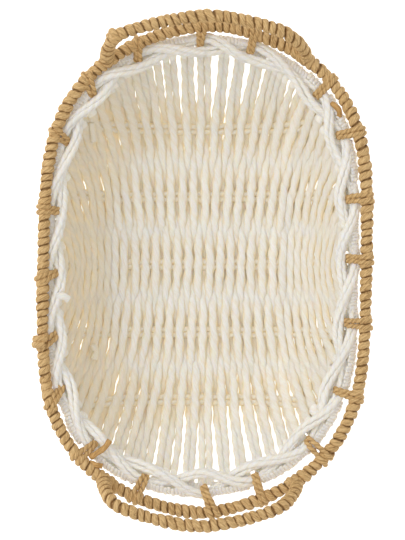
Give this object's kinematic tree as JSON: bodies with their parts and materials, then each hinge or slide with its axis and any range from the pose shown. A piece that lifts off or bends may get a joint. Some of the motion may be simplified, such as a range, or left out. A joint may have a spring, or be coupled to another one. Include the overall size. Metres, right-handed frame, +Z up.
{
  "type": "bread basket",
  "caption": "Oval bread basket: a shallow bowl of woven white paper cord tied inside a kraft-wound wire rim, with a raised carrying handle over each end",
  "frame": {"origin": "middle of the rim in plan, at the height of the surface the basket stands on", "axes": "+X across the basket, +Y along its length towards the rear handle, +Z up"},
  "size_m": [0.2495, 0.3699, 0.1043],
  "materials": {
    "steel_wire": "bare drawn wire, hidden inside the windings",
    "kraft_cord": "matt brown twisted kraft paper cord with creases",
    "white_cord": "matt cream-white twisted paper cord"
  },
  "bodies": {
    "root": {"rim_wire": "steel_wire", "rim_wrap_rear": "kraft_cord", "rim_wrap_right": "kraft_cord", "rim_wrap_front": "kraft_cord", "rim_wrap_left": "kraft_cord", "handle_wire_rear": "steel_wire", "handle_wrap_rear": "kraft_cord", "handle_wire_front": "steel_wire", "handle_wrap_front": "kraft_cord", "handle_lashing_rear_right": "kraft_cord", "handle_lashing_rear_left": "kraft_cord", "handle_lashing_front_left": "kraft_cord", "handle_lashing_front_right": "kraft_cord", "weave_strip_01": "white_cord", "weave_strip_02": "white_cord", "weave_strip_03": "white_cord", "weave_strip_04": "white_cord", "weave_strip_05": "white_cord", "weave_strip_06": "white_cord", "weave_strip_07": "white_cord", "weave_strip_08": "white_cord", "weave_strip_09": "white_cord", "weave_strip_10": "white_cord", "weave_strip_11": "white_cord", "weave_strip_12": "white_cord", "weave_strip_13": "white_cord", "weave_strip_14": "white_cord", "weave_strip_15": "white_cord", "cross_cord_1a": "white_cord", "cross_cord_1b": "white_cord", "cross_cord_2a": "white_cord", "cross_cord_2b": "white_cord", "cross_cord_3a": "white_cord", "cross_cord_3b": "white_cord", "cross_cord_4a": "white_cord", "cross_cord_4b": "white_cord", "cross_cord_5a": "white_cord", "cross_cord_5b": "white_cord", "border_cord_a": "white_cord", "border_cord_b": "white_cord", "rim_tie_01": "kraft_cord", "rim_tie_02": "kraft_cord", "rim_tie_03": "kraft_cord", "rim_tie_04": "kraft_cord", "rim_tie_05": "kraft_cord", "rim_tie_06": "kraft_cord", "rim_tie_07": "kraft_cord", "rim_tie_08": "kraft_cord", "rim_tie_09": "kraft_cord", "rim_tie_10": "kraft_cord", "rim_tie_11": "kraft_cord", "rim_tie_12": "kraft_cord", "rim_tie_13": "kraft_cord", "rim_tie_14": "kraft_cord", "rim_tie_15": "kraft_cord", "rim_tie_16": "kraft_cord", "rim_tie_17": "kraft_cord", "rim_tie_18": "kraft_cord", "rim_tie_19": "kraft_cord", "rim_tie_20": "kraft_cord"}
  },
  "joints": []
}
